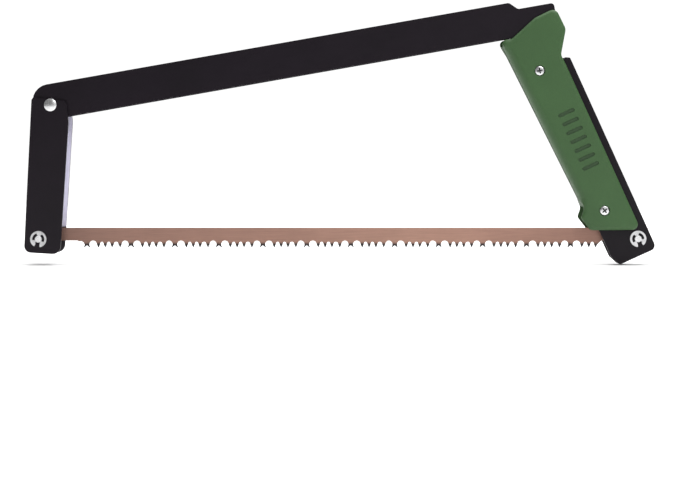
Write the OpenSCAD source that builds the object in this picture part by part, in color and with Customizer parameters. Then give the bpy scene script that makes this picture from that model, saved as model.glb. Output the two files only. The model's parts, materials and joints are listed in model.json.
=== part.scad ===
// Folding bow saw: a channel spine, a channel front arm, a pinned blade and a grip with a tension lever.
// Units are millimetres. X runs along the blade to the handle, Z is up and Y is the thickness.
// Flat pieces are drawn in the X-Z plane and extruded along Y; near is -Y and far is +Y.

/* [Layout] */
// Distance between the two blade pins
pin_span = 530; // [525:1:540]
// Rise of the spine towards the handle, in degrees
spine_turn = 10; // [9:0.5:11]
// Lean of the front arm, in degrees (negative leans its top to the rear)
arm_turn = -2.8; // [-3.5:0.1:-2]
// Lean of the lever and the handle, in degrees (positive leans their tops to the front)
lever_turn = 24.4; // [23:0.1:26]
// Height of the front pivot over the front blade pin
pivot_rise = 118.4; // [117:0.1:120]
// Set-back of the front pivot behind the front blade pin
pivot_setback = 10.4; // [9:0.1:12]
// Middle of the saw's length behind the front blade pin
centre_x = 266.12; // [260:0.01:270]
// Height of the front blade pin over the saw's lowest point
pin_height = 22.51; // [20:0.01:26]

/* [Spine] */
// Spine top edge over the pivot line
spine_top = 18.6; // [17:0.1:20]
// Spine lower edge under the pivot line
spine_drop = 12.4; // [11.5:0.1:12.6]
// Spine reach in front of the pivot
spine_nose = 15.4; // [14.5:0.1:15.6]
// Radius of the spine's nose
nose_r = 15; // [14:0.5:16]
// Spine reach behind the pivot
spine_end = 453.5; // [450:0.5:456]
// Where the lowered tail of the spine begins
tail_start = 414.4; // [410:0.1:418]
// Top edge of the lowered tail over the pivot line
tail_top = 11.8; // [11:0.1:13]
// Sheet thickness of the spine
spine_wall = 1.7; // [1.4:0.1:1.7]
// Outer half width of the spine
spine_half = 10.2; // [10:0.1:10.3]

/* [Front arm] */
// Web outer face in front of the blade pin
arm_front = 12.2; // [12.1:0.1:13]
// Open edge of the arm behind the blade pin
arm_back = 21.3; // [20:0.1:23]
// Arm top over the pivot
arm_over = 6.2; // [5:0.1:7]
// Arm end below the blade pin
arm_under = 12.2; // [11:0.1:13]
// Sheet thickness of the arm
arm_wall = 1.9; // [1.7:0.1:1.9]
// Outer half width of the arm
arm_half = 12.5; // [12.5:0.1:12.6]

/* [Blade] */
// Blade thickness
blade_t = 0.9; // [0.7:0.1:1]
// Blade back over the pin line
blade_back = 9.4; // [9:0.1:9.4]
// Tooth tips under the pin line
tip_drop = 8.2; // [7.8:0.1:8.6]
// Blade end past each pin
blade_tail = 10; // [9.5:0.1:10]
// Length of one group of teeth
group_pitch = 39.1; // [38.5:0.1:39.5]
// Number of raker teeth
rakers = 12; // [8:1:12]
// First raker behind the front pin
first_raker = 41; // [40:0.5:42]

/* [Tension lever] */
// Lever web outer face behind the rear blade pin
lever_back = 11.5; // [11.4:0.1:12]
// Lever cheek in front of the rear blade pin
lever_front = 28.3; // [28:0.1:29]
// Lever end below the rear blade pin
lever_under = 14.3; // [14:0.1:15]
// Lever tip over the rear blade pin
lever_tip = 171; // [169:0.5:173]
// Sheet thickness of the lever
lever_wall = 1.6; // [1.4:0.1:1.6]
// Outer half width of the lever
lever_half = 7; // [6.8:0.1:7]

/* [Handle] */
// Handle pivot in front of the rear blade pin, across the lever
grip_pivot_front = 17.5; // [17:0.1:18]
// Handle pivot over the rear blade pin, along the lever
grip_pivot_up = 35.6; // [35:0.1:36]
// Upper screw over the handle pivot, along the handle
upper_screw_up = 136; // [134:0.5:138]
// Upper screw in front of the handle pivot
upper_screw_front = 1.1; // [0.5:0.1:2]
// Outer half width of the handle
handle_half = 14; // [13.8:0.1:14.2]
// Inner half width of the handle
handle_inner = 10.6; // [10.5:0.1:10.7]
// Half width of the slot that the blade passes through
slot_half = 1.4; // [1.2:0.1:1.6]
// Thickness of the handle's front wall
front_wall = 2.6; // [2:0.1:3]

/* [Fasteners] */
// Blade pin radius
pin_r = 3; // [2.5:0.1:3.2]
// Running clearance on a radius
running = 0.08; // [0.03:0.01:0.1]
// Front rivet shank radius
rivet_r = 3.2; // [2.8:0.1:3.4]
// Front rivet head radius
rivet_head_r = 5.5; // [5:0.1:6]
// Retaining clip radius
clip_r = 7.2; // [6.5:0.1:7.4]
// Handle screw head radius
screw_head_r = 4.55; // [4.2:0.05:4.6]
// Lever pivot barrel radius
barrel_r = 4; // [3.6:0.1:4.2]

/* [Hidden] */
$fn = 64;

// Pivot centres as [x, z], measured from the front blade pin
front_pin = [0, 0];
rear_pin = [pin_span, 0];
front_pivot = [pivot_setback, pivot_rise];
grip_pivot = rear_pin + turned([-grip_pivot_front, grip_pivot_up], lever_turn);
upper_screw = grip_pivot + turned([-upper_screw_front, upper_screw_up], lever_turn);

// Half widths of the layers, from the middle outwards
spine_inner = spine_half - spine_wall;
arm_inner = arm_half - arm_wall;
lever_inner = lever_half - 2;
clip_t = 0.8;
clip_gap = 0.05;
fit_gap = 0.05;
blade_half = blade_t / 2;
// A web ends this far inside the outer faces of its flanges
web_lap = 0.5;
spacer_gap = 0.15;
far_out = 40;

// The front pivot in the arm's own frame
pivot_in_arm = turned(front_pivot, -arm_turn);
arm_web_inner = -arm_front + arm_wall;

metal = [0.15, 0.14, 0.16];
steel = [0.72, 0.72, 0.74];
copper = [0.62, 0.49, 0.44];
green = [0.33, 0.46, 0.30];

// ---- Plane geometry ----

function turned(p, a) = [p.x * cos(a) - p.y * sin(a), p.x * sin(a) + p.y * cos(a)];

function unit(v) = v / norm(v);

// Points of the arc that rounds corner b, between its neighbours a and c
function rounded(a, b, c, r, steps) =
    let (u = unit(a - b), w = unit(c - b), half = acos(u * w) / 2)
    let (middle = b + unit(u + w) * r / sin(half))
    let (p = b + u * r / tan(half) - middle, q = b + w * r / tan(half) - middle)
    let (start = atan2(p.y, p.x), sweep = (atan2(q.y, q.x) - start + 540) % 360 - 180)
    [for (i = [0:steps]) middle + r * [cos(start + sweep * i / steps), sin(start + sweep * i / steps)]];

// An outline from corners [x, z, radius]
function outline(corners, steps = 6) = [
    for (i = [0:len(corners) - 1])
        let (n = len(corners), a = corners[(i + n - 1) % n], b = corners[i], c = corners[(i + 1) % n])
        each b[2] == 0 ? [[b.x, b.y]]
            : rounded([a.x, a.y], [b.x, b.y], [c.x, c.y], b[2], steps)];

// ---- Placing ----

module placed() {
    translate([-centre_x, 0, pin_height]) children();
}

// A flat child in the frame at, turned in the X-Z plane, from y0 to y1
module slab(at, turn, y0, y1) {
    placed() translate([at.x, y1, at.y]) rotate([0, -turn, 0]) rotate([90, 0, 0])
        linear_extrude(y1 - y0) children();
}

// The same slab on the near and on the far side
module both_slabs(at, turn, inner, outer) {
    slab(at, turn, -outer, -inner) children();
    slab(at, turn, inner, outer) children();
}

module rod(at, r, y0, y1) {
    slab(at, 0, y0, y1) circle(r);
}

module ring(at, r_out, r_in, y0, y1) {
    slab(at, 0, y0, y1) difference() {
        circle(r_out);
        circle(r_in);
    }
}

module far_side() {
    mirror([0, 1, 0]) children();
}

// ---- Spine ----

// The lower front corner of the spine meets the arm's web, and stops the arm from swinging inwards
toe_x = arm_web_inner - pivot_in_arm.x + 0.25;
toe_low = turned([toe_x, -16], arm_turn - spine_turn);
toe_high = turned([toe_x, -11.8], arm_turn - spine_turn);

spine_side = outline([
    [toe_low.x, -spine_drop, 0.8], [toe_high.x, toe_high.y, 0.8],
    [-spine_nose, toe_high.y + 2, 0], [-spine_nose, spine_top, nose_r],
    [tail_start, spine_top, 4], [tail_start + 7, tail_top, 4],
    [spine_end, tail_top, 3], [spine_end, -spine_drop, 2]]);

// Open at the nose and below; the lowered tail has no web, so that the lever's end can lie in it
spine_hollow = [
    [-far_out, -far_out], [-far_out, 11], [-spine_nose + 5.2, 11],
    [-spine_nose + nose_r, spine_top - spine_wall],
    [tail_start + 1, spine_top - spine_wall], [tail_start + 1, far_out],
    [spine_end + far_out, far_out], [spine_end + far_out, -far_out]];

module spine() {
    color(metal) difference() {
        slab(front_pivot, spine_turn, -spine_half, spine_half) polygon(spine_side);
        slab(front_pivot, spine_turn, -spine_inner, spine_inner) polygon(spine_hollow);
        rod(front_pivot, rivet_r, -far_out, far_out);
    }
}

// ---- Front arm and its pivot ----

// The web stops short of the pivot, so that the spine's nose swings past it
arm_web_top = pivot_in_arm.y - 12.5;

arm_side = outline([
    [-arm_front, -arm_under, 6], [arm_back - 1.5, -arm_under - 0.4, 7],
    [arm_back, pivot_in_arm.y - 14, 20], [arm_back - 2.6, pivot_in_arm.y + arm_over - 2, 4.5],
    [-arm_front, pivot_in_arm.y + arm_over, 3]]);

module front_arm() {
    color(metal) difference() {
        union() {
            both_slabs(front_pin, arm_turn, arm_inner, arm_half) polygon(arm_side);
            slab(front_pin, arm_turn, -arm_half + web_lap, arm_half - web_lap)
                translate([-arm_front, 6 - arm_under])
                    square([arm_wall, arm_web_top + arm_under - 6]);
        }
        rod(front_pivot, rivet_r + running, -far_out, far_out);
        rod(front_pin, pin_r + fit_gap, -far_out, far_out);
        // Slot in the web for the end of the blade
        slab(front_pin, arm_turn, -1.6, 1.6) translate([-far_out, -far_out]) square([far_out, far_out + 9.5]);
    }
}

rivet_head_t = 1.35;
washer_t = 1;
rivet_tail_t = 1.3;

module front_pivot_rivet_near() {
    head_y = arm_half + clip_gap;
    tail_y = spine_inner - washer_t;
    sphere_r = (rivet_head_r * rivet_head_r + rivet_head_t * rivet_head_t) / (2 * rivet_head_t);
    color(steel) {
        placed() translate([front_pivot.x, -head_y, front_pivot.y]) rotate([90, 0, 0])
            intersection() {
                cylinder(r = rivet_head_r, h = rivet_head_t);
                translate([0, 0, rivet_head_t - sphere_r]) sphere(sphere_r);
            }
        rod(front_pivot, rivet_r, -head_y, -tail_y);
        rod(front_pivot, 4.6, -tail_y, -tail_y + rivet_tail_t);
    }
}

module front_pivot_rivet_far() {
    far_side() front_pivot_rivet_near();
}

module front_pivot_washer_near() {
    color(steel) ring(front_pivot, 7, rivet_r, -spine_inner, -spine_inner + washer_t);
}

module front_pivot_washer_far() {
    far_side() front_pivot_washer_near();
}

// ---- Blade ----

tips = [10.2, 16.3, 22.4, 29.4];
foot_z = -5.6;
foot_half = 1.3;
raker_waist = 2.1;
raker_half = 2.9;
wide_top = -2.1;
narrow_top = -3.1;
edge_z = -2;
tab_z = -5.2;
tab_len = 15;

// A rounded gullet between two feet
function gullet(x0, x1, top, steps) = [
    for (i = [0:steps])
        [(x0 + x1) / 2 - (x1 - x0) / 2 * cos(180 * i / steps), foot_z + (top - foot_z) * sin(180 * i / steps)]];

function raker_tooth(x) = [
    [x - raker_half, -tip_drop], [x, -tip_drop + 1.8], [x + raker_half, -tip_drop]];

// One group: a raker, then four pointed teeth, with gullets between them
function tooth_group(x, count) = concat(
    raker_tooth(x),
    [for (i = [0:count - 1]) let (t = x + tips[i], before = i == 0 ? x + raker_waist : x + tips[i - 1] + foot_half)
        each concat(gullet(before, t - foot_half, i == 0 ? wide_top : narrow_top, i == 0 ? 5 : 4),
            [[t, -tip_drop]])],
    count < len(tips) ? [] : gullet(x + tips[3] + foot_half, x + group_pitch - raker_waist, wide_top, 5));

last_raker = first_raker + (rakers - 1) * group_pitch;
last_tip = last_raker + tips[2];

blade_outline = concat(
    [[-blade_tail, blade_back], [-blade_tail, tab_z], [tab_len, tab_z], [tab_len + 3, edge_z],
        [first_raker - raker_waist - 6, edge_z], [first_raker - raker_waist - 5.4, edge_z - 0.9],
        [first_raker - raker_waist - 3, edge_z - 0.4], [first_raker - raker_waist - 1, edge_z - 1.6],
        [first_raker - raker_waist, foot_z]],
    [for (k = [0:rakers - 2]) each tooth_group(first_raker + k * group_pitch, 4)],
    tooth_group(last_raker, 3),
    [[last_tip + foot_half, foot_z], [last_tip + 5, edge_z], [pin_span - tab_len - 3, edge_z],
        [pin_span - tab_len, tab_z], [pin_span + blade_tail, tab_z], [pin_span + blade_tail, blade_back]]);

module blade() {
    color(copper) slab(front_pin, 0, -blade_half, blade_half) difference() {
        polygon(blade_outline);
        circle(pin_r + running);
        translate([pin_span, 0]) circle(pin_r + running);
    }
}

// ---- Blade pins, clips and spacers ----

groove_r = pin_r - 0.45;

// A pin from -reach to +reach, grooved for a clip outside each cheek
module blade_pin(at, cheek, reach) {
    color(steel) difference() {
        rod(at, pin_r, -reach, reach);
        for (side = [-1, 1])
            ring(at, pin_r + 1, groove_r, side * (cheek + clip_gap + clip_t / 2) - clip_t / 2 - 0.02,
                side * (cheek + clip_gap + clip_t / 2) + clip_t / 2 + 0.02);
    }
}

module wedge(a0, a1, r) {
    polygon([[0, 0], r * [cos(a0), sin(a0)], r * [cos((a0 + a1) / 2), sin((a0 + a1) / 2)], r * [cos(a1), sin(a1)]]);
}

// A three-pronged retaining clip, open towards angle opening
module retaining_clip(at, opening, cheek) {
    color(steel) slab(at, opening, -cheek - clip_gap - clip_t, -cheek - clip_gap) difference() {
        circle(clip_r);
        circle(groove_r);
        // Mouth, wider than the two windows between the prongs
        translate([groove_r * 0.5, -groove_r * 0.86]) square([clip_r, groove_r * 1.72]);
        for (side = [-1, 1]) {
            intersection() {
                circle(clip_r * 0.76);
                difference() {
                    wedge(side * 105, side * 150, clip_r * 2);
                    circle(clip_r * 0.5);
                }
            }
            intersection() {
                circle(clip_r * 0.76);
                difference() {
                    wedge(side * 32, side * 66, clip_r * 2);
                    circle(clip_r * 0.3);
                }
            }
        }
    }
}

module front_blade_pin() {
    blade_pin(front_pin, arm_half, arm_half + 1.3);
}

module front_clip_near() {
    retaining_clip(front_pin, -100, arm_half);
}

module front_clip_far() {
    far_side() front_clip_near();
}

module front_spacer_near() {
    color(steel) ring(front_pin, 5.5, pin_r + fit_gap, -arm_inner, -blade_half - spacer_gap);
}

module front_spacer_far() {
    far_side() front_spacer_near();
}

module rear_blade_pin() {
    blade_pin(rear_pin, lever_half, lever_half + 1.2);
}

module rear_clip_near() {
    retaining_clip(rear_pin, -72, lever_half);
}

module rear_clip_far() {
    far_side() rear_clip_near();
}

module rear_spacer_near() {
    color(steel) ring(rear_pin, 5.5, pin_r + fit_gap, -lever_inner, -blade_half - spacer_gap);
}

module rear_spacer_far() {
    far_side() rear_spacer_near();
}

// ---- Tension lever ----

strip_w = 5.6;
lever_web_inner = lever_back - lever_wall;
lever_web_low = 6.4 - lever_under;

lever_side = outline([
    [-lever_front, -5, 3], [-lever_front + 4, -lever_under, 3], [lever_back, -lever_under, 5],
    [lever_back, lever_tip, 1.5], [lever_back - strip_w, lever_tip + 3, 1.5],
    [lever_back - strip_w - 1, 78, 20], [-12, 52, 12], [-lever_front, 48, 9]]);

module tension_lever() {
    color(metal) difference() {
        union() {
            both_slabs(rear_pin, lever_turn, lever_inner, lever_half) polygon(lever_side);
            slab(rear_pin, lever_turn, -lever_half + web_lap, lever_half - web_lap)
                translate([lever_web_inner, lever_web_low])
                    square([lever_wall, lever_tip - 2 - lever_web_low]);
        }
        rod(rear_pin, pin_r + fit_gap, -far_out, far_out);
        rod(grip_pivot, barrel_r + running, -far_out, far_out);
        // Slot in the web for the end of the blade
        slab(rear_pin, lever_turn, -1.6, 1.6) translate([0, -far_out]) square([far_out, far_out + 6]);
    }
}

// ---- Handle ----

grip_back = 22.5;
wall_top = 170.3;
wall_low = 9.5;
front_low = 15.3;
front_high = 20.6;

handle_side = outline([
    [-front_low, 9, 8], [-21.7, 2.5, 3.5], [-18.6, -10.5, 3.5], [-16, -12, 3], [grip_back, -29, 5],
    [grip_back, 130, 12], [22.2, 141, 6], [35.5, 160, 8], [34.9, 181, 6],
    [14.6, 180.4, 8], [-12.6, 171.6, 6], [-front_high - 1.2, 176, 4]]);

// The front wall runs up between the guard and the head; each half stops at the blade's slot
wall_side = [
    [-front_low, wall_low], [-front_high, wall_top - 4], [-front_high + 2, wall_top],
    [-front_high + front_wall, wall_top], [-front_low + front_wall, wall_low]];

head_seat = 12.4;
counterbore_r = screw_head_r + 0.15;
insert_r = 3.5;
boss_r = 6;
boss_in = 5;

module handle_near_shell() {
    color(green) difference() {
        union() {
            slab(grip_pivot, lever_turn, -handle_half, -handle_inner) polygon(handle_side);
            slab(grip_pivot, lever_turn, -handle_inner, -slot_half) polygon(wall_side);
            rod(upper_screw, boss_r, -handle_inner, -boss_in);
        }
        rod(grip_pivot, counterbore_r, -far_out, -head_seat);
        rod(grip_pivot, barrel_r + fit_gap, -far_out, 0);
        rod(upper_screw, counterbore_r, -far_out, -head_seat);
        rod(upper_screw, insert_r + fit_gap, -far_out, 0);
    }
}

module handle_far_shell() {
    far_side() handle_near_shell();
}

thread_r = 2;
head_t = 1.5;

// A cross-recess screw with its head outwards
module handle_screw(at, tip_y) {
    color(steel) difference() {
        union() {
            rod(at, screw_head_r, -head_seat - head_t, -head_seat);
            rod(at, thread_r, -head_seat, -tip_y);
        }
        for (a = [0, 90])
            slab(at, a + 20, -head_seat - head_t - 1, -head_seat - 0.5) square([5, 1.1], center = true);
    }
}

// A flanged barrel that the screw runs into
module screw_barrel(at, r, flange_r, flange_in, flange_t) {
    color(steel) difference() {
        union() {
            rod(at, r, -head_seat, -flange_in);
            rod(at, flange_r, -flange_in - flange_t, -flange_in);
        }
        rod(at, thread_r + fit_gap, -far_out, -flange_in - flange_t);
    }
}

module lower_handle_screw_near() {
    handle_screw(grip_pivot, lever_inner + 1);
}

module lower_handle_screw_far() {
    far_side() lower_handle_screw_near();
}

module lever_pivot_barrel_near() {
    screw_barrel(grip_pivot, barrel_r, 5.2, lever_inner - 0.9, 0.8);
}

module lever_pivot_barrel_far() {
    far_side() lever_pivot_barrel_near();
}

module lever_bush_near() {
    color(steel) ring(grip_pivot, 5.3, barrel_r + 0.02, -handle_inner, -lever_half - 0.1);
}

module lever_bush_far() {
    far_side() lever_bush_near();
}

module upper_handle_screw_near() {
    handle_screw(upper_screw, boss_in + 1);
}

module upper_handle_screw_far() {
    far_side() upper_handle_screw_near();
}

module upper_handle_insert_near() {
    screw_barrel(upper_screw, insert_r, 5, boss_in - 1, 1);
}

module upper_handle_insert_far() {
    far_side() upper_handle_insert_near();
}

spine();
front_arm();
front_pivot_rivet_near();
front_pivot_rivet_far();
front_pivot_washer_near();
front_pivot_washer_far();
blade();
front_blade_pin();
front_clip_near();
front_clip_far();
front_spacer_near();
front_spacer_far();
tension_lever();
rear_blade_pin();
rear_clip_near();
rear_clip_far();
rear_spacer_near();
rear_spacer_far();
handle_near_shell();
handle_far_shell();
lower_handle_screw_near();
lower_handle_screw_far();
lever_pivot_barrel_near();
lever_pivot_barrel_far();
lever_bush_near();
lever_bush_far();
upper_handle_screw_near();
upper_handle_screw_far();
upper_handle_insert_near();
upper_handle_insert_far();
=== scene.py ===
import json
import math
import bmesh
import bpy
import numpy as np
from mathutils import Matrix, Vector, geometry

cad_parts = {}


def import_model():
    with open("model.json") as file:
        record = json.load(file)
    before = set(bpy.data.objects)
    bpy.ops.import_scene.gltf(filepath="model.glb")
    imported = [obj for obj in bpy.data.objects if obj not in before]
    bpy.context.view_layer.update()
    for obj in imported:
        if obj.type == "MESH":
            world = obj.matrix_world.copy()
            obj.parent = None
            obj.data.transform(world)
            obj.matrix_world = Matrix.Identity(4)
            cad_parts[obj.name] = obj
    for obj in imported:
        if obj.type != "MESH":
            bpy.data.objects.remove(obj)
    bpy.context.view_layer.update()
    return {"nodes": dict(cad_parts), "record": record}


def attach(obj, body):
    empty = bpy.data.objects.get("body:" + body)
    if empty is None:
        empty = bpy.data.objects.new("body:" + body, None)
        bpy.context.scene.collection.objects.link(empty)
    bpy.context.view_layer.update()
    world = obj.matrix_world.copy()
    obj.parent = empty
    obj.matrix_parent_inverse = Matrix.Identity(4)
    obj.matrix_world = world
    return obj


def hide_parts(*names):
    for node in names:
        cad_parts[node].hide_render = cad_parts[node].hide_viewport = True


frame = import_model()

MM = 0.001
record = frame["record"]
cad = frame["nodes"]

# ---- Places, as in part.scad, in millimetres from the front blade pin ----

# The part's middle along x, and the pins' height over the ground
CENTRE_X = 266.12
PIN_HEIGHT = 22.51
SPINE_TURN = 10.0
ARM_TURN = -2.8
LEVER_TURN = 24.4
FRONT_PIN = (0.0, 0.0)
REAR_PIN = (530.0, 0.0)
FRONT_PIVOT = (10.4, 118.4)
# Half widths over the cheeks of each channel
SPINE_HALF = 10.2
ARM_HALF = 12.5
LEVER_HALF = 7.0
# The blade's back above its pins, and its tips below them
BLADE_BACK = 9.4
TIP_DROP = 8.2
# The upper screw as seen from the grip's pivot
UPPER_SCREW_PLACE = (-1.1, 136.0)


def turned(p, degrees):
    c, s = math.cos(math.radians(degrees)), math.sin(math.radians(degrees))
    return (p[0] * c - p[1] * s, p[0] * s + p[1] * c)


def added(a, b):
    return (a[0] + b[0], a[1] + b[1])


GRIP_PIVOT = added(REAR_PIN, turned((-17.5, 35.6), LEVER_TURN))
UPPER_SCREW = added(GRIP_PIVOT, turned(UPPER_SCREW_PLACE, LEVER_TURN))


def world(at, degrees, p, y):
    """A point p of the plane frame placed at `at` and turned, at depth y, in metres."""
    q = added(at, turned(p, degrees))
    return Vector(((q[0] - CENTRE_X) * MM, y * MM, (q[1] + PIN_HEIGHT) * MM))


def local(at, degrees, v):
    """The plane coordinates, in millimetres, of a point in metres."""
    x = v[0] / MM + CENTRE_X - at[0]
    z = v[2] / MM - PIN_HEIGHT - at[1]
    return turned((x, z), -degrees)


# ---- Materials ----

def new_material(name, base, metallic, roughness, specular=0.5):
    """A material with its node tree, its links and its one shader."""
    m = bpy.data.materials.new(name)
    m.use_nodes = True
    shader = m.node_tree.nodes["Principled BSDF"]
    shader.inputs["Base Color"].default_value = (*base, 1)
    shader.inputs["Metallic"].default_value = metallic
    shader.inputs["Roughness"].default_value = roughness
    shader.inputs["Specular IOR Level"].default_value = specular
    m.diffuse_color = (*base, 1)
    return m, m.node_tree.nodes, m.node_tree.links, shader


def noise(nodes, links, scale, detail=4.0, stretch=None, turn=0.0):
    """Noise in object space; stretch scales the axes, turn tilts them in the X-Z plane."""
    place = nodes.new("ShaderNodeTexCoord").outputs["Object"]
    if stretch:
        mapping = nodes.new("ShaderNodeMapping")
        mapping.vector_type = "TEXTURE"
        mapping.inputs["Rotation"].default_value = (0, -math.radians(turn), 0)
        mapping.inputs["Scale"].default_value = stretch
        links.new(place, mapping.inputs["Vector"])
        place = mapping.outputs["Vector"]
    tex = nodes.new("ShaderNodeTexNoise")
    tex.inputs["Scale"].default_value = scale
    tex.inputs["Detail"].default_value = detail
    tex.inputs["Roughness"].default_value = 0.6
    links.new(place, tex.inputs["Vector"])
    return tex.outputs["Fac"]


def ramp(nodes, links, value, stops):
    node = nodes.new("ShaderNodeValToRGB")
    while len(node.color_ramp.elements) < len(stops):
        node.color_ramp.elements.new(0.5)
    for element, (position, colour) in zip(node.color_ramp.elements, stops):
        element.position = position
        element.color = (*colour, 1)
    links.new(value, node.inputs["Fac"])
    return node.outputs["Color"]


def mapped(nodes, links, value, low, high, start=0.3, end=0.7):
    """The value moved from start..end to low..high."""
    node = nodes.new("ShaderNodeMapRange")
    node.inputs["From Min"].default_value = start
    node.inputs["From Max"].default_value = end
    node.inputs["To Min"].default_value = low
    node.inputs["To Max"].default_value = high
    links.new(value, node.inputs["Value"])
    return node.outputs["Result"]


def mixed(nodes, links, factor, a, b, kind="MIX"):
    node = nodes.new("ShaderNodeMix")
    node.data_type = "RGBA"
    node.blend_type = kind
    node.clamp_result = True
    for value, socket in ((factor, node.inputs[0]), (a, node.inputs[6]), (b, node.inputs[7])):
        if isinstance(value, bpy.types.NodeSocket):
            links.new(value, socket)
        elif isinstance(value, tuple):
            socket.default_value = (*value, 1)
        else:
            socket.default_value = value
    return node.outputs[2]


def bump(nodes, links, value, shader, strength, distance):
    node = nodes.new("ShaderNodeBump")
    node.inputs["Strength"].default_value = strength
    node.inputs["Distance"].default_value = distance
    links.new(value, node.inputs["Height"])
    links.new(node.outputs["Normal"], shader.inputs["Normal"])


def shade(colour, k):
    """The colour made darker or lighter."""
    return tuple(c * k for c in colour)


def varied(nodes, links, value, base, low, high, start=0.3, end=0.7):
    """The base colour times low where the value is small, and times high where it is large."""
    return ramp(nodes, links, value, [(start, shade(base, low)), (end, shade(base, high))])


def object_axes(nodes, links):
    """The X, Y and Z outputs of the object coordinates."""
    split = nodes.new("ShaderNodeSeparateXYZ")
    links.new(nodes.new("ShaderNodeTexCoord").outputs["Object"], split.inputs["Vector"])
    return split.outputs


def anodised(name, base, turn, roughness=0.42, specular=0.2):
    """Satin anodised sheet: fine grain along the part, faint handling marks."""
    m, nodes, links, shader = new_material(name, base, 0.0, roughness, specular)
    blotch = noise(nodes, links, 18, 3)
    grain = noise(nodes, links, 900, 3, (14, 1, 1), turn)
    links.new(varied(nodes, links, blotch, base, 0.82, 1.18), shader.inputs["Base Color"])
    gloss = mapped(nodes, links, grain, roughness - 0.05, roughness + 0.07)
    links.new(gloss, shader.inputs["Roughness"])
    bump(nodes, links, grain, shader, 0.12, 0.00006)
    return m


def moulded(name, base, roughness):
    """Moulded plastic with a fine even texture."""
    m, nodes, links, shader = new_material(name, base, 0.0, roughness, 0.35)
    blotch = noise(nodes, links, 25, 3)
    texture = noise(nodes, links, 1700, 2)
    wide = noise(nodes, links, 420, 3)
    colour = varied(nodes, links, blotch, base, 0.93, 1.07)
    pits = mapped(nodes, links, texture, 0.86, 1.12)
    links.new(mixed(nodes, links, 1.0, colour, pits, "MULTIPLY"), shader.inputs["Base Color"])
    gloss = mapped(nodes, links, wide, roughness - 0.07, roughness + 0.07)
    links.new(gloss, shader.inputs["Roughness"])
    bump(nodes, links, texture, shader, 0.45, 0.00012)
    return m


def plated(name, base, roughness):
    """Bright metal with fine turning marks and a little tarnish."""
    m, nodes, links, shader = new_material(name, base, 1.0, roughness)
    tarnish = noise(nodes, links, 260, 4)
    fine = noise(nodes, links, 2600, 2)
    links.new(varied(nodes, links, tarnish, base, 0.78, 1.0, 0.35, 0.65), shader.inputs["Base Color"])
    gloss = mapped(nodes, links, fine, roughness - 0.06, roughness + 0.1)
    links.new(gloss, shader.inputs["Roughness"])
    bump(nodes, links, fine, shader, 0.15, 0.00004)
    return m


BLADE_COLOUR = (0.39, 0.225, 0.172)
TIP_COLOUR = (0.035, 0.031, 0.033)
# Painted highlight and painted shade along the blade: tones from its front end to its rear end, and the end's
# distance from the middle in metres
BLADE_PAINTED_HIGHLIGHT = [(0.0, (0.64, 0.64, 0.66)), (0.3, (0.86, 0.85, 0.86)),
               (0.62, (1.0, 1.0, 1.0)), (1.0, (0.66, 0.63, 0.64))]
BLADE_END = 0.27
# The dark of the tips is full up to one height above them and gone at the other
DARK_FULL, DARK_GONE = 3.6, 5.8
DARK_UNEVEN = 1.6


def blade_material():
    """A bronze-toned strip, brushed along its length, with dark tooth tips and a painted highlight in its
    middle.
    """
    m, nodes, links, shader = new_material("blade_bronze", BLADE_COLOUR, 0.6, 0.38, 0.5)
    axes = object_axes(nodes, links)
    brushed = noise(nodes, links, 1500, 4, (30, 1, 1))
    blotch = noise(nodes, links, 14, 3)
    colour = varied(nodes, links, blotch, BLADE_COLOUR, 0.9, 1.08)
    streaks = mapped(nodes, links, brushed, 0.88, 1.1)
    colour = mixed(nodes, links, 1.0, colour, streaks, "MULTIPLY")
    # Lighter towards the middle of the strip, darker at its ends: a painted highlight in the middle and
    # painted shade at the ends
    along = mapped(nodes, links, axes["X"], 0.0, 1.0, -BLADE_END, BLADE_END)
    colour = mixed(nodes, links, 1.0, colour, ramp(nodes, links, along, BLADE_PAINTED_HIGHLIGHT), "MULTIPLY")
    # The dark fades out upwards from the tips, with an uneven edge
    uneven = nodes.new("ShaderNodeMath")
    uneven.operation = "MULTIPLY_ADD"
    uneven.inputs[1].default_value = DARK_UNEVEN * MM
    links.new(noise(nodes, links, 330, 2), uneven.inputs[0])
    links.new(axes["Z"], uneven.inputs[2])
    tips = PIN_HEIGHT - TIP_DROP
    dark = mapped(nodes, links, uneven.outputs[0], 1.0, 0.0, (tips + DARK_FULL) * MM, (tips + DARK_GONE) * MM)
    links.new(mixed(nodes, links, dark, colour, TIP_COLOUR), shader.inputs["Base Color"])
    links.new(mapped(nodes, links, brushed, 0.34, 0.5), shader.inputs["Roughness"])
    bump(nodes, links, brushed, shader, 0.2, 0.00005)
    return m


METAL_COLOUR = (0.0068, 0.0040, 0.0075)
# The pale lilac on the arm's inner faces is a painted reflection, dim and bright, that fades in just above
# the blade's back
REFLECTION_DIM, REFLECTION_BRIGHT = (0.68, 0.66, 0.80), (0.80, 0.78, 0.92)
REFLECTION_FADE = 1.5


def channel_inner_painted_reflection():
    """The arm's inner faces: a pale painted reflection above the blade, the plain dark metal round the
    blade's pin.
    """
    m, nodes, links, shader = new_material("channel_inner_painted_reflection", (0.74, 0.72, 0.86), 0.0, 0.35, 0.6)
    axes = object_axes(nodes, links)
    grain = noise(nodes, links, 900, 3, (14, 1, 1), 90 + ARM_TURN)
    pale = ramp(nodes, links, grain, [(0.3, REFLECTION_DIM), (0.7, REFLECTION_BRIGHT)])
    blade_top = PIN_HEIGHT + BLADE_BACK
    height = mapped(nodes, links, axes["Z"], 0.0, 1.0, blade_top * MM, (blade_top + REFLECTION_FADE) * MM)
    # Painted reflection above the blade's back, the black metal below it
    links.new(mixed(nodes, links, height, METAL_COLOUR, pale), shader.inputs["Base Color"])
    bump(nodes, links, grain, shader, 0.12, 0.00006)
    return m


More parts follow.
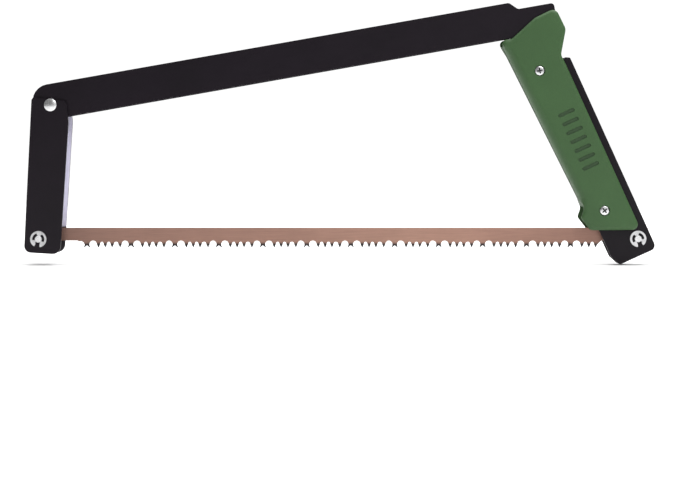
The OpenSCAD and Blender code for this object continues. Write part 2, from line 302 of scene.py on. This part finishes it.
SPINE_METAL = anodised("spine_anodised", METAL_COLOUR, SPINE_TURN)
ARM_METAL = anodised("arm_anodised", METAL_COLOUR, 90 + ARM_TURN)
LEVER_METAL = anodised("lever_anodised", shade(METAL_COLOUR, 0.8), 90 + LEVER_TURN)
# A lighter black for the broken edges: partly edge wear, partly a painted highlight along them
EDGE_WEAR_AND_PAINTED_HIGHLIGHT = anodised("worn_edge_and_painted_highlight", (0.04, 0.037, 0.042), 0, 0.36, 0.4)
# The arm's inner faces, with a painted reflection above the blade
PAINTED_REFLECTION_METAL = channel_inner_painted_reflection()
GREEN = moulded("grip_plastic", (0.039, 0.093, 0.030), 0.5)
# A darker green for the recessed grip bars: painted shade in the recesses
GROOVE_PAINTED_SHADE = moulded("grip_groove_painted_shade", (0.030, 0.064, 0.025), 0.6)
NYLON = moulded("black_nylon", (0.02, 0.02, 0.022), 0.5)
STEEL = plated("zinc_plate", (0.76, 0.76, 0.77), 0.27)
SPRING_STEEL = plated("spring_steel", (0.66, 0.66, 0.67), 0.3)
# The dark colour in the screws' cross recesses is painted shade
RECESS_PAINTED_SHADE = plated("screw_recess_painted_shade", (0.07, 0.07, 0.075), 0.55)
BLADE = blade_material()

# ---- Mesh helpers ----

body_names = {n: body for body, names in record["behaviour"]["bodies"].items() for n in names}


def finished(bm, node, materials, angle=32, weighted=True):
    """Turns the bmesh into the piece that stands for a CAD node."""
    bmesh.ops.recalc_face_normals(bm, faces=bm.faces)
    mesh = bpy.data.meshes.new(node + "_piece")
    bm.to_mesh(mesh)
    bm.free()
    for m in materials:
        mesh.materials.append(m)
    mesh.shade_smooth()
    mesh.set_sharp_from_angle(angle=math.radians(angle))
    piece = bpy.data.objects.new(node + "_piece", mesh)
    bpy.context.scene.collection.objects.link(piece)
    if weighted:
        # Keeps the large flat faces flat in the shading beside their bevels
        piece.modifiers.new("normals", "WEIGHTED_NORMAL").keep_sharp = True
    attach(piece, body_names[node])
    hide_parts(node)
    return piece


def copied(node):
    """The CAD node's mesh without the edges inside its flat faces."""
    bm = bmesh.new()
    bm.from_mesh(cad[node].data)
    bmesh.ops.remove_doubles(bm, verts=bm.verts, dist=1e-6)
    bmesh.ops.dissolve_limit(bm, angle_limit=math.radians(1), verts=bm.verts, edges=bm.edges)
    return bm


def bevelled(bm, edges, width, segments, material=None):
    result = bmesh.ops.bevel(bm, geom=edges, offset=width * MM, offset_type="OFFSET", segments=segments,
                             profile=0.5, affect="EDGES", clamp_overlap=True)
    if material is not None:
        for f in result["faces"]:
            f.material_index = material


def sharp_edges(bm, degrees=35):
    limit = math.radians(degrees)
    return [e for e in bm.edges if len(e.link_faces) == 2 and e.calc_face_angle(0) > limit]


def softened(node, width, materials, segments=2):
    """A copy of the CAD node with every sharp edge broken."""
    bm = copied(node)
    bevelled(bm, sharp_edges(bm), width, segments)
    return finished(bm, node, materials)


def circle_points(centre, r, count=40):
    return [Vector((centre[0] + r * math.cos(2 * math.pi * i / count),
                    centre[1] + r * math.sin(2 * math.pi * i / count))) for i in range(count)]


def lathe(profile, at, side, steps=56):
    """A closed turned solid; profile is (radius, depth) from one end of the axis to the other."""
    bm = bmesh.new()
    rings = []
    for r, y in profile:
        around = circle_points((0, 0), r, steps) if r else [(0, 0)]
        rings.append([bm.verts.new(world(at, 0, p, side * y)) for p in around])
    for a, b in zip(rings, rings[1:]):
        for i in range(steps):
            j = (i + 1) % steps
            if len(a) == 1:
                bm.faces.new((a[0], b[i], b[j]))
            elif len(b) == 1:
                bm.faces.new((a[i], b[0], a[j]))
            else:
                bm.faces.new((a[i], b[i], b[j], a[j]))
    return bm


def loop_edges(first, count):
    """The edges of a closed loop of count points, numbered from first."""
    return [(first + i, first + (i + 1) % count) for i in range(count)]


def triangulated(points, edges):
    """Points and triangles of the area inside the edges' loops."""
    verts, _, faces, *_ = geometry.delaunay_2d_cdt(points, edges, [], 1, 1e-5)
    return verts, faces


def face_centres(verts, faces):
    return [sum((verts[i] for i in f), Vector((0, 0))) / len(f) for f in faces]


def joined_layers(bm, near, far, faces):
    """Covers two layers of the same points, and walls their open rims."""
    for f in faces:
        bm.faces.new([near[i] for i in f])
        bm.faces.new([far[i] for i in reversed(f)])
    index = {v: i for i, v in enumerate(near)}
    for e in [e for e in bm.edges if len(e.link_faces) == 1 and e.verts[0] in index]:
        a, b = (index[v] for v in e.verts)
        bm.faces.new((near[a], near[b], far[b], far[a]))
    bmesh.ops.recalc_face_normals(bm, faces=bm.faces)


def is_inside(points, outline):
    """Whether each point lies inside the closed outline."""
    p = np.array([(q[0], q[1]) for q in points])
    a = np.array([(q[0], q[1]) for q in outline])
    b = np.roll(a, -1, axis=0)
    inside = np.zeros(len(p), bool)
    for (ax, az), (bx, bz) in zip(a, b):
        crosses = (az > p[:, 1]) != (bz > p[:, 1])
        if az != bz:
            inside ^= crosses & (p[:, 0] < (bx - ax) * (p[:, 1] - az) / (bz - az) + ax)
    return inside


# ---- Channels ----

EDGE_SLOT, REFLECTION_SLOT = 1, 2
EDGE_WIDTH = 0.3
# Where the webs run, along the spine and up the arm and the lever
SPINE_WEB_END, SPINE_WEB_LOW = 414, 11.5
ARM_WEB_LOW, ARM_WEB_HIGH = -5.5, 107
LEVER_WEB_LOW, LEVER_WEB_HIGH = -7.0, 168.5


def spine_web(p, n):
    """The spine's upper side and its nose, as far as the lowered tail."""
    return p[0] < SPINE_WEB_END and p[1] > SPINE_WEB_LOW and (n[1] > 0.2 or n[0] < -0.5)


def arm_web(p, n):
    return n[0] < -0.9 and ARM_WEB_LOW < p[1] < ARM_WEB_HIGH


def lever_web(p, n):
    return n[0] > 0.9 and LEVER_WEB_LOW < p[1] < LEVER_WEB_HIGH


def channel(node, at, degrees, half, is_web, width, metal, inner=False):
    """A bent sheet channel: round bends where is_web says, broken edges elsewhere."""
    bm = copied(node)
    bends = []
    for e in bm.edges:
        if len(e.link_faces) != 2:
            continue
        cheek, web = sorted((f.normal for f in e.link_faces), key=lambda n: -abs(n.y))
        middle = (e.verts[0].co + e.verts[1].co) / 2
        is_square = abs(cheek.y) >= 0.99 and abs(web.y) <= 0.01
        is_outside = abs(abs(middle.y) / MM - half) <= 0.05
        if is_square and is_outside and is_web(local(at, degrees, middle), turned((web.x, web.z), -degrees)):
            bends.append(e)
    bevelled(bm, bends, width, 5)
    # The other sharp edges are broken and take the lighter edge material, part wear and part painted
    # highlight
    bevelled(bm, sharp_edges(bm, 40), EDGE_WIDTH, 2, EDGE_SLOT)
    # The cheeks' inner faces take the pale painted reflection
    if inner:
        for f in bm.faces:
            if abs(f.normal.y) > 0.9 and f.normal.y * f.calc_center_median().y < 0:
                f.material_index = REFLECTION_SLOT
    return finished(bm, node, [metal, EDGE_WEAR_AND_PAINTED_HIGHLIGHT, PAINTED_REFLECTION_METAL] if inner else [metal, EDGE_WEAR_AND_PAINTED_HIGHLIGHT])


channel("spine", FRONT_PIVOT, SPINE_TURN, SPINE_HALF, spine_web, 1.5, SPINE_METAL)
channel("front_arm", FRONT_PIN, ARM_TURN, ARM_HALF, arm_web, 1.7, ARM_METAL, inner=True)
channel("tension_lever", REAR_PIN, LEVER_TURN, LEVER_HALF, lever_web, 1.3, LEVER_METAL)

# ---- Blade ----

BLADE_HALF = 0.45
BLADE_HOLE_R = 3.08
FIRST_RAKER, PITCH, RAKERS = 41.0, 39.1, 12
# Pointed teeth after each raker, measured from it
TIPS = (10.2, 16.3, 22.4, 29.4)
FOOT_Z, FOOT_HALF, TIP_HALF = -5.4, 1.45, 0.22
WAIST, RAKER_HALF, RAKER_POINT, NOTCH = 2.1, 3.0, 0.5, 1.9
RAKER_FLARE, RAKER_STEP = 0.15, 1.1
WIDE_TOP, NARROW_TOP = -2.1, -3.1
# The toothed edge's line, and the deeper tab round each pin
EDGE_Z, TAB_Z = -2.0, -5.2
TAIL, TAB_REACH, EDGE_REACH = 10.0, 15, 18
# The stepped stretch before the first raker and the slope after the last tooth
LEAD_IN = ((-6, 0), (-5.4, -0.9), (-3, -0.4), (-1, -1.6))
LEAD_OUT = 3.7
TOOTH_SET = 0.26
FILED_SLOPE = 0.7


def gullet(x0, x1, top, steps=9):
    """A rounded gullet; the teeth on both sides flare into it."""
    return [((x0 + x1) / 2 - (x1 - x0) / 2 * math.cos(math.pi * i / steps),
             FOOT_Z + (top - FOOT_Z) * math.sin(math.pi * i / steps), 0) for i in range(steps + 1)]


def raker(x):
    """A raker is a fork: two points with a notch between them."""
    half = [(WAIST + RAKER_FLARE, FOOT_Z - RAKER_STEP), (RAKER_HALF, -TIP_DROP),
            (RAKER_HALF - RAKER_POINT, -TIP_DROP)]
    front = [(x - dx, z, 0) for dx, z in half]
    rear = [(x + dx, z, 0) for dx, z in reversed(half)]
    return front + [(x, -TIP_DROP + NOTCH, 0)] + rear


def blade_profile():
    """Outline points (x, z, set), with the set of each tooth tip to one side or the other."""
    span = REAR_PIN[0]
    lead = FIRST_RAKER - WAIST
    points = [(-TAIL, BLADE_BACK, 0), (-TAIL, TAB_Z, 0), (TAB_REACH, TAB_Z, 0), (EDGE_REACH, EDGE_Z, 0)]
    points += [(lead + dx, EDGE_Z + dz, 0) for dx, dz in LEAD_IN]
    points.append((lead, FOOT_Z, 0))
    for k in range(RAKERS):
        x = FIRST_RAKER + k * PITCH
        points += raker(x)
        is_last = k == RAKERS - 1
        left = x + WAIST
        for i, tip in enumerate(TIPS[:3] if is_last else TIPS):
            t = x + tip
            side = 1 if (i + k) % 2 else -1
            points += gullet(left, t - FOOT_HALF, WIDE_TOP if i == 0 else NARROW_TOP)
            points += [(t - TIP_HALF, -TIP_DROP, side), (t + TIP_HALF, -TIP_DROP, side)]
            left = t + FOOT_HALF
        if not is_last:
            points += gullet(left, x + PITCH - WAIST, WIDE_TOP)
        else:
            points += [(left, FOOT_Z, 0), (left + LEAD_OUT, EDGE_Z, 0)]
    return points + [(span - EDGE_REACH, EDGE_Z, 0), (span - TAB_REACH, TAB_Z, 0),
                     (span + TAIL, TAB_Z, 0), (span + TAIL, BLADE_BACK, 0)]


def blade():
    """The strip with its teeth set in turn to either side; the rakers stay in line."""
    points = blade_profile()
    holes = [circle_points(pin, BLADE_HOLE_R, 48) for pin in (FRONT_PIN, REAR_PIN)]
    plan, edges = [], []
    for loop in [[Vector(p[:2]) for p in points]] + holes:
        edges += loop_edges(len(plan), len(loop))
        plan += loop
    verts, faces = triangulated(plan, edges)
    centres = face_centres(verts, faces)
    dropped = is_inside(centres, holes[0]) | is_inside(centres, holes[1])
    bm = bmesh.new()
    layers = []
    for sign in (-1, 1):
        layer = []
        for i, v in enumerate(verts):
            lean = points[i][2] if i < len(points) else 0
            # The filed face of a set tooth slopes, so its inner side is shorter
            z = v.y + (FILED_SLOPE if lean * sign < 0 else 0)
            y = sign * BLADE_HALF + lean * TOOTH_SET
            layer.append(bm.verts.new(world(FRONT_PIN, 0, (v.x, z), y)))
        layers.append(layer)
    joined_layers(bm, *layers, [f for f, drop in zip(faces, dropped) if not drop])
    top = (PIN_HEIGHT + BLADE_BACK - 0.05) * MM
    back = [e for e in sharp_edges(bm, 57)
            if min(v.co.z for v in e.verts) > top and abs(e.verts[0].co.y - e.verts[1].co.y) < 1e-5]
    bevelled(bm, back, 0.15, 2)
    return finished(bm, "blade", [BLADE], 20)


blade()

# ---- Fasteners ----

CLIP_GAP, CLIP_T = 0.05, 0.8
# One half of a clip as arcs: radius, first and last angle from the mouth, steps
CLIP_OUTSIDE = (7.2, 21, 180, 26)
CLIP_INSIDE = [(2.57, 180, 166, 2), (3.3, 163, 160, 1), (5.35, 152, 72, 14), (3.3, 65, 63, 1),
               (2.57, 60, 46, 2), (3.6, 36, 34, 1), (5.1, 22, 20, 1)]
FRONT_MOUTH, REAR_MOUTH = -100, -72
# The rivet's domed head, shank and formed tail, as (radius, depth)
RIVET_PROFILE = [(0, 13.9), (1.4, 13.84), (2.8, 13.62), (4.0, 13.28), (4.9, 12.93), (5.35, 12.72),
                 (5.5, 12.62), (5.45, 12.56), (5.2, 12.55), (3.2, 12.55), (3.2, 7.5), (4.45, 7.5),
                 (4.6, 7.35), (4.5, 6.75), (4.0, 6.4), (2.6, 6.25), (1.2, 6.5), (0, 6.6)]
SCREW_PROFILE = [(0, 13.9), (2.3, 13.86), (3.4, 13.68), (4.1, 13.36), (4.45, 12.95), (4.55, 12.6),
                 (4.5, 12.42), (4.35, 12.4), (2.0, 12.4), (2.0, 6.5), (1.6, 6.0), (0, 6.0)]
# The cross recess at three depths: depth, half length and half width
RECESS_LEVELS = ((14.6, 3.0, 0.75), (13.9, 2.7, 0.62), (12.75, 1.3, 0.42))


def arc(r, start, end, steps):
    angles = [math.radians(start + (end - start) * i / steps) for i in range(steps + 1)]
    return [Vector((r * math.cos(t), r * math.sin(t))) for t in angles]


def mirrored(points):
    return [Vector((p.x, -p.y)) for p in points]


def retaining_clip(node, at, side, mouth, cheek):
    """A stamped three-pronged clip outside a cheek, with its mouth turned to an angle."""
    outside = arc(*CLIP_OUTSIDE)
    inside = [p for part in CLIP_INSIDE for p in arc(*part)]
    # Round the outside, then back along the inner edge
    loop = outside + mirrored(outside[-2::-1]) + mirrored(reversed(inside[1:])) + inside
    verts, faces = triangulated(loop, loop_edges(0, len(loop)))
    bm = bmesh.new()
    layers = [[bm.verts.new(world(at, mouth, v, side * y)) for v in verts]
              for y in (cheek + CLIP_GAP, cheek + CLIP_GAP + CLIP_T)]
    joined_layers(bm, *layers, faces)
    bevelled(bm, sharp_edges(bm, 70), 0.14, 2)
    return finished(bm, node, [SPRING_STEEL])


for side, name in ((-1, "near"), (1, "far")):
    finished(lathe(RIVET_PROFILE, FRONT_PIVOT, side), "front_pivot_rivet_" + name, [STEEL])
    softened("front_pivot_washer_" + name, 0.2, [STEEL])
    for end in ("front", "rear"):
        softened(f"{end}_spacer_{name}", 0.25, [NYLON])
    retaining_clip("front_clip_" + name, FRONT_PIN, side, FRONT_MOUTH, ARM_HALF)
    retaining_clip("rear_clip_" + name, REAR_PIN, side, REAR_MOUTH, LEVER_HALF)
    softened("lever_bush_" + name, 0.2, [NYLON])
    softened("lever_pivot_barrel_" + name, 0.15, [STEEL])
    softened("upper_handle_insert_" + name, 0.15, [STEEL])

for end in ("front", "rear"):
    softened(f"{end}_blade_pin", 0.35, [STEEL], 3)


def loose_object(name, bm, material):
    """An object that is only used to cut or to be cut, and is removed afterwards."""
    bmesh.ops.recalc_face_normals(bm, faces=bm.faces)
    mesh = bpy.data.meshes.new(name)
    bm.to_mesh(mesh)
    bm.free()
    mesh.materials.append(material)
    loose = bpy.data.objects.new(name, mesh)
    bpy.context.scene.collection.objects.link(loose)
    return loose


def cross_cutter(at, side, turn):
    """A tapered bar; two of them crossed cut a cross recess, and leave their dark colour on its faces as
    painted shade.
    """
    bm = bmesh.new()
    layers = []
    for y, long, wide in RECESS_LEVELS:
        corners = ((-long, -wide), (long, -wide), (long, wide), (-long, wide))
        layers.append([bm.verts.new(world(at, turn, p, side * y)) for p in corners])
    for a, b in zip(layers, layers[1:]):
        for i in range(4):
            bm.faces.new((a[i], a[(i + 1) % 4], b[(i + 1) % 4], b[i]))
    bm.faces.new(layers[0])
    bm.faces.new(layers[-1])
    return loose_object("cutter", bm, RECESS_PAINTED_SHADE)


def screw(node, at, side, turn):
    """A domed screw with a cross recess turned to an angle."""
    blank = loose_object("screw", lathe(SCREW_PROFILE, at, side), STEEL)
    cutters = [cross_cutter(at, side, turn), cross_cutter(at, side, turn + 90)]
    for c in cutters:
        cut = blank.modifiers.new("cut", "BOOLEAN")
        cut.operation = "DIFFERENCE"
        cut.solver = "EXACT"
        cut.material_mode = "TRANSFER"
        cut.object = c
    evaluated = blank.evaluated_get(bpy.context.evaluated_depsgraph_get())
    bm = bmesh.new()
    bm.from_mesh(evaluated.data)
    # The evaluated mesh holds copies of the materials, so the originals are found by name
    used = [bpy.data.materials[m.name] for m in evaluated.data.materials]
    for o in [blank] + cutters:
        bpy.data.objects.remove(o)
    return finished(bm, node, used)


for side, name in ((-1, "near"), (1, "far")):
    screw("lower_handle_screw_" + name, GRIP_PIVOT, side, 38)
    screw("upper_handle_screw_" + name, UPPER_SCREW, side, 12)

# ---- Handle ----

# Corners of the grip's outline from its pivot: x, z and radius
HANDLE_CORNERS = [
    (-15.3, 9, 8), (-21.7, 2.5, 3.5), (-18.6, -10.5, 3.5), (-16, -12, 3), (22.5, -29, 5), (22.5, 130, 12),
    (22.2, 141, 6), (35.5, 160, 8), (34.9, 181, 6), (14.6, 180.4, 8), (-12.6, 171.6, 6), (-21.8, 176, 4)]
# The front edge runs between the first corner and the last one
FRONT_X, FRONT_Z = HANDLE_CORNERS[0][:2]
FRONT_LEAN = (HANDLE_CORNERS[0][0] - HANDLE_CORNERS[-1][0]) / (HANDLE_CORNERS[-1][1] - FRONT_Z)
# Depths from the middle: inner side, outer side, and the outer side's rim
INNER, OUTER, RIM = 10.6, 14.0, 11.1
EDGE_ROUND, FRONT_ROUND = 3.2, 6.5
CROWN, CROWN_REACH = 0.35, 12.0
# The half round front fades in above one height and out below another: height, fading length
FADE_IN, FADE_OUT = (11, 9), (169, 11)
SLOT, WALL, SKIN = 1.45, 2.6, 0.45
WALL_LOW, WALL_HIGH, WALL_STATIONS = 10.2, 169.0, 41
WALL_GAPS = (WALL, 2.0, 1.4, 0.9, 0.5, 0.25)
COUNTERBORE_R, COUNTERBORE_DEPTH = 4.7, 12.38
PIVOT_BORE, INSERT_BORE = 4.06, 3.56
SCREW_HOLES = (((0, 0), PIVOT_BORE), (UPPER_SCREW_PLACE, INSERT_BORE))
# The boss round the insert, with broken edges: radius and depth of each ring
BOSS_RINGS = ((6.0, INNER + 0.1), (6.0, 5.4), (5.6, 5.0), (3.9, 5.0), (INSERT_BORE, 5.3),
              (INSERT_BORE, INNER + 0.1))
BARS = [(5.0, 41 + 8.6 * i) for i in range(7)]
BAR_HALF, BAR_R, BAR_DEPTH, BAR_SLOPE = 6.2, 1.7, 0.75, 0.45
# Mesh spacing: along the edges, in the grid inside them, and the rings that follow the edge
EDGE_GAP, GRID_GAP, LOOP_GAP = 1.6, 2.4, 0.7
EDGE_RINGS = (0.05, 0.16, 0.35, 0.65, 1.0, 1.5, 2.1, 2.8, 3.6, 4.6, 5.6, 6.8, 8.2)
GRID_X, GRID_Z, GRID_INSET = (-24, 38), (-31, 184), 9.4
OUTLINE_INSET = 0.08


def rounded_outline(corners, steps):
    """A closed outline with every corner rounded by its own radius."""
    points = []
    for i, (bx, bz, r) in enumerate(corners):
        a = Vector(corners[i - 1][:2])
        b = Vector((bx, bz))
        c = Vector(corners[(i + 1) % len(corners)][:2])
        u, w = (a - b).normalized(), (c - b).normalized()
        half = math.acos(u.dot(w)) / 2
        centre = b + (u + w).normalized() * r / math.sin(half)
        p, q = b + u * r / math.tan(half) - centre, b + w * r / math.tan(half) - centre
        start = math.atan2(p.y, p.x)
        sweep = (math.atan2(q.y, q.x) - start + 3 * math.pi) % (2 * math.pi) - math.pi
        for k in range(steps + 1):
            t = start + sweep * k / steps
            points.append(centre + r * Vector((math.cos(t), math.sin(t))))
    return points


def spaced(points, gap):
    """The closed outline with its long edges divided."""
    result = []
    for a, b in zip(points, points[1:] + points[:1]):
        n = max(1, round((b - a).length / gap))
        result += [a.lerp(b, k / n) for k in range(n)]
    return result


def inset(points, distance):
    """The closed outline moved inwards along its corner normals."""
    area = sum(a.cross(b) for a, b in zip(points, points[1:] + points[:1]))
    turn = 1 if area > 0 else -1
    result = []
    for i, b in enumerate(points):
        tangent = (points[(i + 1) % len(points)] - points[i - 1]).normalized()
        result.append(b + Vector((-tangent.y, tangent.x)) * distance * turn)
    return result


def distance_to(points, outline):
    """Distance of each point from the closed outline."""
    p = np.array([(q[0], q[1]) for q in points])
    a = np.array([(q[0], q[1]) for q in outline])
    b = np.roll(a, -1, axis=0)
    best = np.full(len(p), 1e9)
    for a0, b0 in zip(a, b):
        ab = b0 - a0
        t = np.clip(((p - a0) @ ab) / max(ab @ ab, 1e-12), 0, 1)
        best = np.minimum(best, np.linalg.norm(p - (a0 + t[:, None] * ab), axis=1))
    return best


def pill_points(centre, half, r, steps=8):
    """A bar with round ends, along x."""
    points = []
    for sign in (1, -1):
        for k in range(steps + 1):
            t = -math.pi / 2 + math.pi * k / steps
            x = centre[0] + sign * (half + r * math.cos(t))
            points.append(Vector((x, centre[1] + sign * r * math.sin(t))))
    return points


def front_distance(x, z):
    """Distance behind the line of the grip's front edge."""
    return x - FRONT_X + (z - FRONT_Z) * FRONT_LEAN


def quarter(d, reach):
    """Height of a quarter round of width reach, from 0 at d = 0 to 1."""
    return np.sqrt(1 - (1 - np.clip(d / reach, 0, 1)) ** 2)


def surface_depth(x, z, d):
    """Outer half width at a point, d from the outline: a half round front, and tight edges elsewhere."""
    crown = CROWN * quarter(d, CROWN_REACH)
    flat = OUTER - CROWN
    thin = SLOT + SKIN
    rim = RIM + (flat - RIM) * quarter(d, EDGE_ROUND) + crown
    front = thin + (flat - thin) * quarter(front_distance(x, z), FRONT_ROUND) + crown
    share = np.clip((z - FADE_IN[0]) / FADE_IN[1], 0, 1) * np.clip((FADE_OUT[0] - z) / FADE_OUT[1], 0, 1)
    share = share * share * (3 - 2 * share)
    return np.minimum(rim, rim + (front - rim) * share)


def filling_points(outline, blocked):
    """Points inside the outline: rings near its edge, a grid farther in, none near a blocked loop."""
    def inside(points, gap):
        kept = is_inside(points, outline) & (distance_to(points, outline) > gap)
        return [q for q, ok in zip(points, kept) if ok]

    points = []
    for d in EDGE_RINGS:
        points += inside(spaced(inset(outline, d), EDGE_GAP), d * 0.97)
    grid = [Vector((x, z)) for x in np.arange(*GRID_X, GRID_GAP) for z in np.arange(*GRID_Z, GRID_GAP)]
    points += inside(grid, GRID_INSET)
    kept = np.ones(len(points), bool)
    for loop in blocked:
        kept &= (distance_to(points, loop) > LOOP_GAP) & ~is_inside(points, loop)
    return [q for q, ok in zip(points, kept) if ok]


def shell_surface():
    """Points, triangles and depths of the shell's plan, shared by both shells."""
    outline = spaced(inset(rounded_outline(HANDLE_CORNERS, 10), OUTLINE_INSET), EDGE_GAP)
    holes = [circle_points(centre, COUNTERBORE_R) for centre, bore in SCREW_HOLES]
    bars = [pill_points(c, BAR_HALF, BAR_R) for c in BARS]
    floors = [pill_points(c, BAR_HALF, BAR_R - BAR_SLOPE) for c in BARS]
    points, edges = [], []
    for loop in [outline] + holes + [p for pair in zip(bars, floors) for p in pair]:
        edges += loop_edges(len(points), len(loop))
        points += loop
    verts, faces = triangulated(points + filling_points(outline, holes + bars), edges)
    centres = face_centres(verts, faces)
    dropped = is_inside(centres, holes[0]) | is_inside(centres, holes[1])
    in_bar = np.zeros(len(centres), bool)
    for bar in bars:
        in_bar |= is_inside(centres, bar)
    faces = [(f, bool(g)) for f, drop, g in zip(faces, dropped, in_bar) if not drop]
    flat = np.array([(v.x, v.y) for v in verts])
    depth = surface_depth(flat[:, 0], flat[:, 1], distance_to(verts, outline))
    for bar_floor in floors:
        low = is_inside(verts, bar_floor) | (distance_to(verts, bar_floor) < 1e-3)
        depth = np.where(low, depth - BAR_DEPTH, depth)
    return verts, faces, depth


PLAN = shell_surface()


def shell_skin(bm, put):
    """The shell's outer and inner surfaces, the wall round its outline and the two screw holes."""
    verts, faces, depth = PLAN
    outer = [put(p, y) for p, y in zip(verts, depth)]
    inner = [put(p, min(INNER, y - SKIN)) for p, y in zip(verts, depth)]
    # Faces inside the recessed bars take the darker green, a painted shade
    for f, in_bar in faces:
        bm.faces.new([outer[i] for i in f]).material_index = 1 if in_bar else 0
        bm.faces.new([inner[i] for i in reversed(f)])
    index = {v: i for i, v in enumerate(outer)}
    rims = [e for e in bm.edges if len(e.link_faces) == 1 and e.verts[0] in index and e.verts[1] in index]
    for centre, bore in SCREW_HOLES:
        middle = Vector(centre)
        around = [e for e in rims
                  if all((verts[index[v]] - middle).length < COUNTERBORE_R + 0.2 for v in e.verts)]
        rims = [e for e in rims if e not in around]
        # From the outer surface down the counterbore, in along its step and down the bore
        steps = {}
        for v in {v: None for e in around for v in e.verts}:
            p = verts[index[v]]
            q = middle + (p - middle).normalized() * bore
            steps[v] = [v, put(p, COUNTERBORE_DEPTH), put(q, COUNTERBORE_DEPTH), put(q, INNER),
                        inner[index[v]]]
        for e in around:
            a, b = (steps[v] for v in e.verts)
            for k in range(4):
                bm.faces.new((a[k], b[k], b[k + 1], a[k + 1]))
    for e in rims:
        a, b = e.verts
        bm.faces.new((a, b, inner[index[b]], inner[index[a]]))


def tube_faces(bm, rings):
    """Quads between neighbouring rings of equal length."""
    for a, b in zip(rings, rings[1:]):
        for i in range(len(a)):
            j = (i + 1) % len(a)
            bm.faces.new((a[i], a[j], b[j], b[i]))


def front_wall(bm, put):
    """This half's wall beside the slot, under the half round front."""
    stations = []
    for z in np.linspace(WALL_LOW, WALL_HIGH, WALL_STATIONS):
        edge = FRONT_X - (z - FRONT_Z) * FRONT_LEAN
        section = [(WALL, SLOT)]
        for gap in WALL_GAPS:
            under = surface_depth(np.array([edge + gap]), np.array([z]), np.array([gap]))[0] - 0.35
            section.append((gap, max(SLOT + 0.1, min(INNER + 0.15, under))))
        section.append((WALL_GAPS[-1], SLOT))
        stations.append([put((edge + gap, z), y) for gap, y in section])
    tube_faces(bm, stations)
    bm.faces.new(stations[0])
    bm.faces.new(list(reversed(stations[-1])))


def insert_boss(bm, put):
    """The round boss that holds the upper screw's insert."""
    rings = [[put(p, y) for p in circle_points(UPPER_SCREW_PLACE, r)] for r, y in BOSS_RINGS]
    tube_faces(bm, rings + rings[:1])


def handle_shell(node, side):
    bm = bmesh.new()

    def put(p, y):
        return bm.verts.new(world(GRIP_PIVOT, LEVER_TURN, p, side * y))

    shell_skin(bm, put)
    front_wall(bm, put)
    insert_boss(bm, put)
    return finished(bm, node, [GREEN, GROOVE_PAINTED_SHADE], 38, weighted=False)


handle_shell("handle_near_shell", -1)
handle_shell("handle_far_shell", 1)

# ---- Stage, light and camera ----

FLOOR_HALF, FLOOR_GAP = 1.25, 0.0008
FLOOR_DIM, FLOOR_BRIGHT = (0.915, 0.915, 0.915), (0.93, 0.93, 0.93)


def floor():
    """A white ground just under the saw's lowest point."""
    bm = bmesh.new()
    bmesh.ops.create_grid(bm, x_segments=24, y_segments=24, size=FLOOR_HALF)
    mesh = bpy.data.meshes.new("floor")
    bm.to_mesh(mesh)
    bm.free()
    m, nodes, links, shader = new_material("floor_white", (0.92, 0.92, 0.92), 0.0, 0.9, 0.1)
    colour = ramp(nodes, links, noise(nodes, links, 3, 2), [(0.3, FLOOR_DIM), (0.7, FLOOR_BRIGHT)])
    links.new(colour, shader.inputs["Base Color"])
    mesh.materials.append(m)
    plane = bpy.data.objects.new("floor", mesh)
    plane.location = (0, 0, -FLOOR_GAP)
    bpy.context.scene.collection.objects.link(plane)


def area_light(name, place, aim, size, energy, size_y=None):
    data = bpy.data.lights.new(name, "AREA")
    data.energy = energy
    data.size = size
    if size_y:
        data.shape = "RECTANGLE"
        data.size_y = size_y
    light = bpy.data.objects.new(name, data)
    light.location = place
    light.rotation_euler = (Vector(aim) - Vector(place)).to_track_quat("-Z", "Y").to_euler()
    bpy.context.scene.collection.objects.link(light)


def white_world(seen, lighting):
    """White where the camera sees it, and dimmer as a light, so that black metal stays dark."""
    scene_world = bpy.data.worlds.new("studio")
    bpy.context.scene.world = scene_world
    scene_world.use_nodes = True
    nodes, links = scene_world.node_tree.nodes, scene_world.node_tree.links
    background = nodes["Background"]
    background.inputs["Color"].default_value = (1, 1, 1, 1)
    path = nodes.new("ShaderNodeLightPath")
    strength = nodes.new("ShaderNodeMapRange")
    strength.inputs["To Min"].default_value = lighting
    strength.inputs["To Max"].default_value = seen
    links.new(path.outputs["Is Camera Ray"], strength.inputs["Value"])
    links.new(strength.outputs["Result"], background.inputs["Strength"])


floor()
white_world(1.05, 0.22)
area_light("key", (0.8, -1.1, 1.5), (0, 0, 0.12), 1.1, 18)
area_light("fill", (0.9, -1.7, 0.7), (0, 0, 0.1), 1.2, 3)
area_light("top", (0, 0.15, 1.5), (0, 0, 0.0), 2.4, 40, 1.2)
area_light("back", (0.2, 1.5, 0.9), (0, 0, 0.1), 1.6, 14)


def front_camera():
    """A long lens level with the saw's middle, shifted so that the saw stands high in the frame."""
    data = bpy.data.cameras.new("camera")
    data.lens = 86.4
    data.sensor_width = 36
    data.shift_y = -0.161
    camera = bpy.data.objects.new("camera", data)
    camera.location = (-0.0005, -1.45, 0.116)
    camera.rotation_euler = (math.radians(90), 0, 0)
    bpy.context.scene.collection.objects.link(camera)
    bpy.context.scene.camera = camera
    bpy.context.scene.view_settings.view_transform = "Standard"


front_camera()
